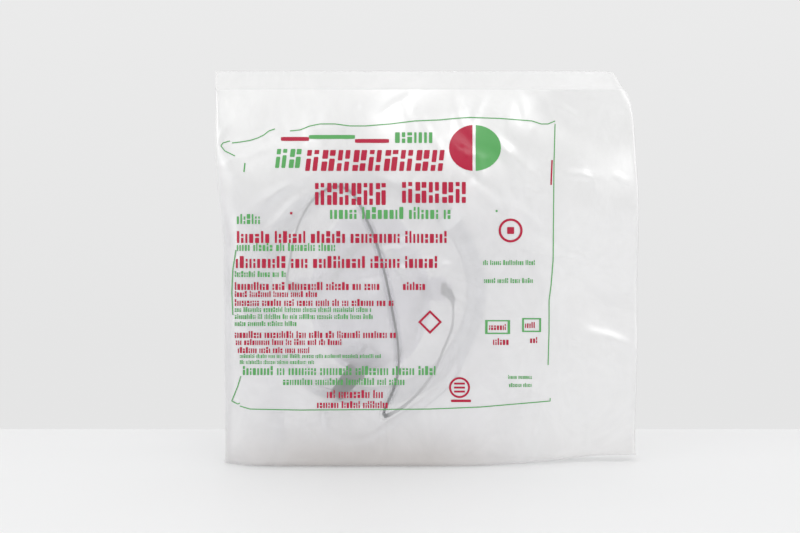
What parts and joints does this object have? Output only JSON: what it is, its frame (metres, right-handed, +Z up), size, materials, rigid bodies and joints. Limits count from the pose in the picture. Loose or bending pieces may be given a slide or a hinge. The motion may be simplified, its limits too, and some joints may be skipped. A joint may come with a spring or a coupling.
{
  "type": "packed oxygen face mask",
  "caption": "Child's oxygen face mask with nose clip, strap and coiled tubing, sealed in a clear printed film pouch that stands on its flattened base.",
  "frame": {"origin": "a point on the underside of the pouch's flat base, below the middle of the pouch's width", "axes": "+X to the right across the printed front, +Y from the printed front film to the back film, +Z up from the base to the top weld"},
  "size_m": [0.25, 0.0473, 0.236],
  "materials": {
    "film": "clear glossy polyethylene film, wrinkled, printed in crimson and green on the front",
    "mask_pvc": "clear soft moulded plastic with a faint grey-lavender tint",
    "tubing_pvc": "clear soft plastic with a faint blue tint",
    "connector_plastic": "satin grey-green moulded plastic",
    "nose_metal": "soft bare strip, lightly brushed",
    "elastic": "matt knitted elastic",
    "tie_film": "thin clear band"
  },
  "bodies": {
    "root": {"pouch": "film", "mask_shell": "mask_pvc", "nose_clip": "nose_metal", "mask_connector": "connector_plastic", "strap": "elastic", "tube_lead": "tubing_pvc", "tube_coil": "tubing_pvc", "tube_tail": "tubing_pvc", "supply_funnel": "tubing_pvc", "coil_tie": "tie_film"}
  },
  "joints": []
}
